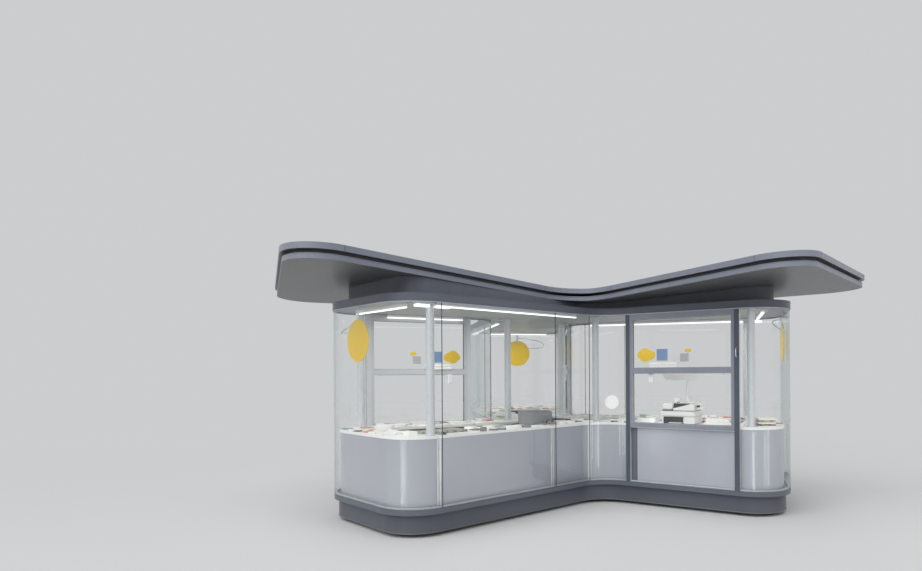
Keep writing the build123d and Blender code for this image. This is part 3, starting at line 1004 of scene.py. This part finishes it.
# What stands at a known place: side, third, along, inset, lift, size, turn from the side, tone
placed = (
    ("end", 2, 0.815, 0.115, 0.0, (0.085, 0.050, 0.012), 40, (44, 46, 52)),
    ("long", 0, 0.545, 0.118, 0.0, (0.080, 0.055, 0.026), -38, (40, 42, 48)),
    ("long", 0, 1.090, 0.118, 0.0, (0.075, 0.070, 0.042), -40, (38, 40, 44)),
    ("long", 0, 1.225, 0.112, 0.0, (0.095, 0.050, 0.016), -34, (70, 68, 66)),
    ("long", 0, 1.345, 0.108, 0.0, (0.095, 0.050, 0.016), -36, (48, 50, 56)),
    ("long", 0, 1.735, 0.125, 0.0, (0.125, 0.060, 0.022), -40, (52, 56, 66)),
    ("short", 0, 0.150, 0.118, 0.0, (0.085, 0.045, 0.014), 26, (72, 74, 76)),
    ("short", 0, 0.330, 0.118, 0.0, (0.075, 0.045, 0.014), 24, (72, 74, 76)),
    ("long", 0, 0.690, 0.345, 0.0, (0.520, 0.255, 0.026), 0, (126, 123, 106)),
    ("long", 0, 2.200, 0.205, 0.0, (0.130, 0.060, 0.055), -25, (34, 36, 40)),
    ("end", 0, 0.359, 0.282, 0.000, (0.190, 0.130, 0.010), -77, (250, 249, 244)),
    ("end", 0, 0.357, 0.280, 0.0105, (0.180, 0.128, 0.020), -76, (40, 42, 46)),
    ("end", 0, 0.360, 0.284, 0.031, (0.186, 0.130, 0.022), -79, (226, 224, 206)),
    ("end", 0, 0.358, 0.283, 0.0535, (0.176, 0.126, 0.022), -74, (142, 138, 116)),
    ("end", 0, 0.361, 0.285, 0.076, (0.184, 0.130, 0.020), -78, (238, 236, 224)),
    ("end", 0, 0.440, 0.440, 0.0, (0.090, 0.085, 0.088), -70, (250, 248, 246)),
    ("short", 0, 0.560, 0.215, 0.0, (0.230, 0.120, 0.058), 8, (250, 250, 248)),
    ("short", 0, 0.500, 0.225, 0.0585, (0.070, 0.050, 0.040), 0, (150, 186, 140)),
    ("short", 0, 1.395, 0.385, 0.0, (0.270, 0.130, 0.064), 10, (250, 250, 248)),
    ("short", 0, 1.430, 0.250, 0.0, (0.300, 0.100, 0.030), 14, (248, 247, 240)),
)
# Printer, in metres from the middle of its front foot.
# A part is left, right, low, high, set back, depth, edge.
printer = {
    "along": 0.975, "inset": 0.315, "depth": 0.340, "stretch": 1.11,
    "paleParts": (
        (-0.220, 0.215, 0.076, 0.146, 0.0, 0.340, 0.018),
        (0.068, 0.212, 0.003, 0.075, 0.004, 0.330, 0.008),
        (-0.195, -0.180, 0.003, 0.075, 0.004, 0.330, 0.004),
        (-0.200, -0.058, 0.149, 0.224, 0.0, 0.340, 0.020),
        (-0.030, 0.180, 0.225, 0.232, 0.020, 0.290, 0.003),
        (-0.075, -0.015, 0.2335, 0.282, 0.100, 0.050, 0.004),
        (0.216, 0.300, 0.160, 0.180, 0.060, 0.100, 0.006),
        (-0.100, 0.060, 0.010, 0.018, -0.050, 0.100, 0.003),
    ),
    "darkParts": (
        (-0.180, 0.067, 0.003, 0.0755, 0.012, 0.300, 0.003),
        (-0.200, 0.205, 0.145, 0.150, 0.004, 0.320, 0.001),
        (0.216, 0.248, 0.184, 0.206, 0.060, 0.050, 0.006),
        (-0.020, 0.010, 0.2325, 0.239, 0.040, 0.030, 0.003),
    ),
    # Outline (along, up), set back, depth
    "lid": (
        ((-0.055, 0.148), (0.205, 0.148), (0.205, 0.205), (0.185, 0.224), (0.165, 0.224), (0.060, 0.196),
         (-0.055, 0.170)),
        0.004, 0.320,
    ),
    # The lid's shade: a dark prism above the lid's slope, painted shade
    "lidShade": (((-0.050, 0.171), (0.060, 0.197), (0.160, 0.224), (-0.050, 0.224)), 0.014, 0.300),
}
stand = {
    "along": 1.005, "inset": 0.465, "top": 1.548, "baseSize": (0.20, 0.05, 0.012), "baseEdge": 0.004,
    "stemSize": (0.042, 0.028), "stemLift": 0.010, "stemEdge": 0.005, "barProud": 0.020, "barDepth": 0.040,
    "bar": ((-0.325, 0.078), (-0.330, 0.070), (-0.290, 0.022), (-0.275, 0.0), (0.275, 0.0), (0.290, 0.022),
            (0.330, 0.070), (0.325, 0.078)),
}
counterBox = {
    "along": 2.135, "inset": 0.385, "size": (0.385, 0.200, 0.160), "turn": -25.0, "edge": 0.010,
    "lift": 0.0005, "lidSize": (0.3465, 0.170, 0.008), "lidEdge": 0.003, "lidLift": 0.001,
}
paper = blockedPaper("leafletPaper", 0.5, 0.28)
plainCard = blockedPaper("plainCard", 0.4, 0.0)


def inside(spot, line):
    # True where a level ray from the spot crosses the closed line an odd number of times
    x, y = spot
    ax, ay = line.T
    bx, by = np.roll(line, -1, axis=0).T
    crosses = ((ay > y) != (by > y)) & (x < (bx - ax) * (y - ay) / np.where(by == ay, tiny, by - ay) + ax)
    return crosses.sum() % 2 == 1


def takenPlaces():
    # Places on the worktops that leaflets keep clear of, and how far
    columns = columnSpots()
    spots = columns + [side(*row[:4])[0] for row in placed]
    room = [goods["clear"] + bodyPlan["columnRadius"]] * len(columns)
    room += [max(row[5][:2]) / 2 + goods["stackRoom"] for row in placed]
    for kind, thing, (clear, steps) in (
        ("short", printer, goods["printerRoom"]), ("long", counterBox, goods["boxRoom"])
    ):
        spots += [side(kind, 0, thing["along"] + step, thing["inset"])[0] for step in steps]
        room += [clear] * len(steps)
    return np.array(spots), np.array(room)


def leafletSpots(rng):
    # Even stations along the counters, each moved and turned a little, kept on the worktop and apart
    taken, room = takenPlaces()
    front = planLine(body, goods["edgeInset"])
    back = planLine(body, goods["backInset"])
    shiftBy = goods["shift"]
    spots = []
    for index in range(3):
        for kind, last in goods["lastStops"]:
            for row in goods["rows"]:
                for along in np.arange(goods["firstStop"], last, goods["pitch"]):
                    shift = rng.uniform(-shiftBy, shiftBy, 2)
                    spot, angle = side(kind, index, along + shift[0], row + shift[1] * goods["rowShift"])
                    near = np.linalg.norm(taken - spot, axis=1) < room
                    if near.any() or rng.random() < goods["skip"]:
                        continue
                    if inside(spot, front) and not inside(spot, back):
                        taken = np.concatenate([taken, spot[None]])
                        room = np.append(room, goods["apart"])
                        spots.append((spot, angle + rng.uniform(-goods["swing"], goods["swing"]), index))
    return spots


def makeLeaflets():
    # One to three thin sheets on each spot, the top one in a tone of its own
    rng = np.random.default_rng(goods["seed"])
    shapes, tones = [[], [], []], [[], [], []]
    for spot, angle, index in leafletSpots(rng):
        width, depth = goods["papers"][rng.integers(len(goods["papers"]))]
        sheets = rng.integers(1, 4)
        tone = goods["tones"][rng.integers(len(goods["tones"]))]
        z = worktopTop + goods["lift"]
        for sheet in range(sheets):
            thick = rng.uniform(*goods["thick"])
            place = spot + rng.uniform(-goods["nudge"], goods["nudge"], 2)
            shapes[index].append(block((*place, z), (width, depth, thick), angle, goods["sheetEdge"]))
            tones[index].append(colour(*(tone if sheet == sheets - 1 else goods["under"])))
            z += thick + goods["sheetGap"]
    for index in range(3):
        makePiece(f"leaflets_{index + 1}", shapes[index], "worktop", paper, tones=tones[index])


def makeStacks():
    # Rounded blocks at their known places
    stacks, tones = [], []
    for kind, index, along, inset, lift, size, turn, tone in placed:
        spot, angle = side(kind, index, along, inset)
        place = (*spot, worktopTop + goods["lift"] + lift)
        stacks.append(block(place, size, angle + turn, goods["stackEdge"]))
        tones.append(colour(*tone))
    makePiece("counter_goods", stacks, "worktop", paper, tones=tones)


def makePrinter():
    # Rounded boxes and two prisms from the printer's tables, its heights stretched
    spot, angle = side("short", 0, printer["along"], printer["inset"])
    out, ahead = unit(angle - 90), unit(angle)
    front = spot + out * (printer["depth"] / 2)
    stretch = printer["stretch"]

    def part(left, right, low, high, back, depth, edge):
        middle = front + ahead * ((left + right) / 2) - out * (back + depth / 2)
        size = (right - left, depth, (high - low) * stretch)
        return block((*middle, worktopTop + low * stretch), size, angle, edge)

    def lidPart(outline, back, depth):
        return prism((*(front - out * back), worktopTop), np.array(outline) * (1.0, stretch), depth, angle)

    pale = [part(*row) for row in printer["paleParts"]] + [lidPart(*printer["lid"])]
    # The dark parts end with the lid's painted shade prism
    dark = [part(*row) for row in printer["darkParts"]] + [lidPart(*printer["lidShade"])]
    makePiece("printer_shell", pale, "worktop")
    makePiece("printer_dark_parts", dark, "groove_paint", darkRubber)


def makeStand():
    # Foot, stem and a bar with sloped ends
    spot, angle = side("short", 0, stand["along"], stand["inset"])
    stem = (*stand["stemSize"], stand["top"] - worktopTop)
    bar = spot + unit(angle - 90) * stand["barProud"]
    shapes = [
        block((*spot, worktopTop), stand["baseSize"], angle, stand["baseEdge"]),
        block((*spot, worktopTop + stand["stemLift"]), stem, angle, stand["stemEdge"]),
        prism((*bar, stand["top"]), stand["bar"], stand["barDepth"], angle),
    ]
    makePiece("counter_stand", shapes, "worktop")


def makeCounterBox():
    # Rounded box with a smaller lid plate on it
    spot, angle = side("long", 0, counterBox["along"], counterBox["inset"])
    angle += counterBox["turn"]
    lidFoot = worktopTop + counterBox["size"][2] + counterBox["lidLift"]
    shapes = [
        block((*spot, worktopTop + counterBox["lift"]), counterBox["size"], angle, counterBox["edge"]),
        block((*spot, lidFoot), counterBox["lidSize"], angle, counterBox["lidEdge"]),
    ]
    makePiece("counter_box", shapes, "window_frame", finishes["box_paint"])


cards = {
    "inner": 0.0345, "ovalWall": 0.0008, "ovalEdge": 0.0002, "ovalShrink": 0.0006, "stops": 48,
    # Yellow ovals: along, lift of the layer, height, radius, widening
    "ovals": ((0.585, 0.0, 1.862, 0.060, 1.30), (0.610, 0.001, 1.862, 0.086, 0.95),
              (0.675, 0.002, 1.858, 0.058, 1.10), (1.146, 0.0, 1.905, 0.023, 1.85)),
    # Pale cards: along, inset, foot, size, edge, tone
    "cards": (
        (0.825, 0.035, 1.790, (0.138, 0.001, 0.142), 0.0003, (120, 150, 190)),
        (1.100, 0.035, 1.774, (0.104, 0.001, 0.097), 0.0003, (178, 180, 180)),
        (0.820, 0.075, 1.701, (0.360, 0.030, 0.030), 0.004, (250, 250, 248)),
        (0.820, 0.075, 1.738, (0.370, 0.030, 0.034), 0.004, (250, 250, 248)),
        (0.668, 0.075, 1.520, (0.062, 0.020, 0.118), 0.004, (244, 244, 242)),
    ),
    "roundShare": 0.76, "roundLevel": 1.275, "roundRadius": 0.088, "roundInset": 0.0135, "roundWall": 0.003,
    "roundEdge": 0.001, "roundTone": (250, 250, 248),
}


def oval(index, along, inset, z, radius, wide):
    # Thin elliptical disc standing in the plane of a window: wide * r cos t along it, r sin t up
    wall, edge, less = cards["ovalWall"], cards["ovalEdge"], cards["ovalShrink"]
    across, up = circle(cards["stops"]).T
    rings = []
    for depth, shrink in ((0.0, less), (edge, 0.0), (wall - edge, 0.0), (wall, less)):
        start, angle = side("short", index, along, inset + depth)
        line = start + across[:, None] * unit(angle) * (radius * wide - shrink)
        rings.append(np.column_stack([line, z + (radius - shrink) * up]))
    return np.concatenate(rings), grid(len(rings), len(up)) + caps(len(rings), len(up))


def roundCard(corner):
    # Disc bent with the valley glass: arc share s + r cos t / arc length, height z + r sin t
    radius, inset = cards["roundRadius"], cards["roundInset"]
    wall, edge = cards["roundWall"], cards["roundEdge"]
    across, up = circle(cards["stops"]).T
    length = (corner[3] + inset) * math.radians(abs(corner[2] - corner[1]))
    rings = []
    for depth, size in (
        (0.0, radius / 2), (0.0, radius - edge), (edge, radius),
        (wall, radius), (wall, radius / 2), (wall, edge),
    ):
        line = onBend(corner, inset + depth, cards["roundShare"] + size * across / length)[0]
        rings.append(np.column_stack([line, cards["roundLevel"] + size * up]))
    return np.concatenate(rings), grid(len(rings), len(up)) + caps(len(rings), len(up))


def makeCards():
    # Ovals and cards repeat on each window; the round card stands once, behind the near valley's glass
    yellow, pale, tones = [], [], []
    for index in range(3):
        for along, layer, height, radius, wide in cards["ovals"]:
            yellow.append(oval(index, along, cards["inner"] + layer, height, radius, wide))
        for along, inset, foot, size, edge, tone in cards["cards"]:
            spot, angle = side("short", index, along, inset)
            pale.append(block((*spot, foot), size, angle, edge))
            tones.append(colour(*tone))
    pale.append(roundCard(body[1]))
    tones.append(colour(*cards["roundTone"]))
    makePiece("yellow_window_discs", yellow, "yellow_sign")
    makePiece("pale_window_cards", pale, "worktop", plainCard, tones=tones)


makeLeaflets()
makeStacks()
makePrinter()
makeStand()
makeCounterBox()
makeCards()
print("goods")


# Studio: camera, floor, lamps

photo = {
    "width": 922, "height": 571, "focal": 629.82, "centreX": 528.05, "horizonY": 372.94, "roll": -0.00616,
    "eye": (-0.136, -8.711, 1.65), "turn": 1.5423, "filmWidth": 36.0,
}


def makeCamera():
    # Level camera turned a little about the upright, its picture shifted to the photo's horizon
    lens = bpy.data.cameras.new("photoCamera")
    lens.sensor_fit = "HORIZONTAL"
    lens.sensor_width = photo["filmWidth"]
    lens.lens = photo["focal"] / photo["width"] * photo["filmWidth"]
    lens.shift_x = (photo["width"] / 2 - photo["centreX"]) / photo["width"]
    lens.shift_y = (photo["horizonY"] - photo["height"] / 2) / photo["width"]
    camera = bpy.data.objects.new("photoCamera", lens)
    camera.matrix_world = (
        Matrix.Translation(photo["eye"]) @ Matrix.Rotation(math.radians(photo["turn"]), 4, "Z")
        @ Matrix.Rotation(math.radians(90), 4, "X") @ Matrix.Rotation(photo["roll"], 4, "Z")
    )
    bpy.context.collection.objects.link(camera)
    bpy.context.scene.camera = camera


studio = {
    "floorRings": (0.0, 6.0, 12.0, 20.0, 30.0, 60.0), "floorSides": 64, "fadeFrom": 8.0, "fadeTo": 40.0,
    "floorTone": (0.60, 0.60, 0.60, 1.0), "skyColour": (0.97, 0.985, 1.0, 1.0), "skyTone": 0.62,
    "skyLight": 0.62, "sunPower": 1.75, "sunSpread": 70.0, "sunTilt": (38.0, -22.0, 0.0),
    # Soft lamps from both sides: name, place, aim
    "sideLamps": (
        ("leftLamp", (-10.0, -9.0, 6.0), (-1.0, -1.5, 1.0)),
        ("rightLamp", (9.5, -8.5, 6.0), (1.5, -1.0, 1.0)),
    ),
    "sidePower": 26.0, "sideSize": 4.0, "sideSpread": 60.0,
    # Low strips: place x, y and aim x, y of each, and its width
    "strips": (
        (-2.40, -4.02, -1.55, -2.43, 0.28),
        (2.02, -3.28, 0.53, -0.68, 0.30),
        (3.68, -3.29, 2.42, -1.49, 0.28),
    ),
    "stripGlow": 1.6, "stripHeight": 0.80, "stripLift": 0.01,
    "insideAlong": 1.10, "insideInset": 0.95, "insideLevel": 2.33, "insidePower": 9.0, "insideSize": 0.9,
}


def makeFloor():
    # A flat disc whose own light fades into the background colour far out
    rings = np.array(studio["floorRings"])
    line = circle(studio["floorSides"])
    points = np.zeros((len(rings), len(line), 3))
    points[..., :2] = rings[:, None, None] * line
    mesh = bpy.data.meshes.new("studioFloor")
    mesh.from_pydata(points.reshape(-1, 3).tolist(), [], grid(len(rings), len(line)))
    f = Finish("paleFloor")
    spot = f.node("TexCoord", output="Object")
    distance = f.node("VectorMath", {"operation": "LENGTH"}, {0: spot}, output="Value")
    near = 1 - f.between(distance, studio["fadeFrom"], studio["fadeTo"])
    cloth = f.node("BsdfDiffuse", sockets={"Color": studio["floorTone"]})
    clear = f.node("BsdfTransparent")
    mesh.materials.append(f.finish(f.node("MixShader", sockets={0: near, 1: clear, 2: cloth})))
    floor = bpy.data.objects.new("studioFloor", mesh)
    bpy.context.collection.objects.link(floor)


def makeWorld():
    # Rays that see the world find a pale background; rays that light the kiosk find a plain sky
    world = bpy.data.worlds.new("paleRoom")
    bpy.context.scene.world = world
    world.use_nodes = True
    tree = world.node_tree
    tree.nodes.clear()
    rays = tree.nodes.new("ShaderNodeLightPath")
    seen = Value(tree, rays.outputs["Is Camera Ray"])
    for other in ("Is Glossy Ray", "Is Transmission Ray"):
        seen = seen.larger(Value(tree, rays.outputs[other]))
    strength = seen * studio["skyTone"] + (1 - seen) * studio["skyLight"]
    back = tree.nodes.new("ShaderNodeBackground")
    back.inputs["Color"].default_value = studio["skyColour"]
    put(tree, back.inputs["Strength"], strength)
    out = tree.nodes.new("ShaderNodeOutputWorld")
    tree.links.new(back.outputs[0], out.inputs["Surface"])


def makeLamp(name, power, size, place, aim, strip=False, spread=180.0):
    # Soft lamps light the paint and show in no glass; strips only show as sheen
    lamp = bpy.data.lights.new(name, "AREA")
    lamp.energy = power
    lamp.shape = "RECTANGLE"
    lamp.size, lamp.size_y = size
    lamp.spread = math.radians(spread)
    holder = bpy.data.objects.new(name, lamp)
    turn = (Vector(aim) - Vector(place)).to_track_quat("-Z", "Y")
    holder.matrix_world = Matrix.Translation(place) @ turn.to_matrix().to_4x4()
    holder.visible_camera = False
    holder.visible_glossy = strip
    holder.visible_diffuse = not strip
    bpy.context.collection.objects.link(holder)


def makeSun():
    # A wide sun, so that its shadows are soft
    sun = bpy.data.lights.new("softSun", "SUN")
    sun.energy = studio["sunPower"]
    sun.angle = math.radians(studio["sunSpread"])
    holder = bpy.data.objects.new("softSun", sun)
    holder.rotation_euler = [math.radians(angle) for angle in studio["sunTilt"]]
    bpy.context.collection.objects.link(holder)


def makeLamps():
    # Two soft side lamps, three low strips for the sheen of the bends, and one lamp under each arm's ceiling
    size = (studio["sideSize"], studio["sideSize"])
    for name, place, aim in studio["sideLamps"]:
        makeLamp(name, studio["sidePower"], size, place, aim, spread=studio["sideSpread"])
    height = studio["stripHeight"]
    middle = height / 2 + studio["stripLift"]
    for number, (x, y, aimX, aimY, width) in enumerate(studio["strips"]):
        power = studio["stripGlow"] * math.pi * width * height
        makeLamp(f"lowStrip{number + 1}", power, (width, height), (x, y, middle), (aimX, aimY, middle), True)
    size = (studio["insideSize"], studio["insideSize"])
    for index in range(3):
        spot = side("short", index, studio["insideAlong"], studio["insideInset"])[0]
        place, aim = (*spot, studio["insideLevel"]), (*spot, 0.0)
        makeLamp(f"armLamp{index + 1}", studio["insidePower"], size, place, aim)


makeCamera()
makeFloor()
makeWorld()
makeSun()
makeLamps()
bpy.context.scene.view_settings.view_transform = "Standard"
bpy.context.scene.cycles.transparent_max_bounces = 32        # many sheets of glass stand one behind another
print("studio")
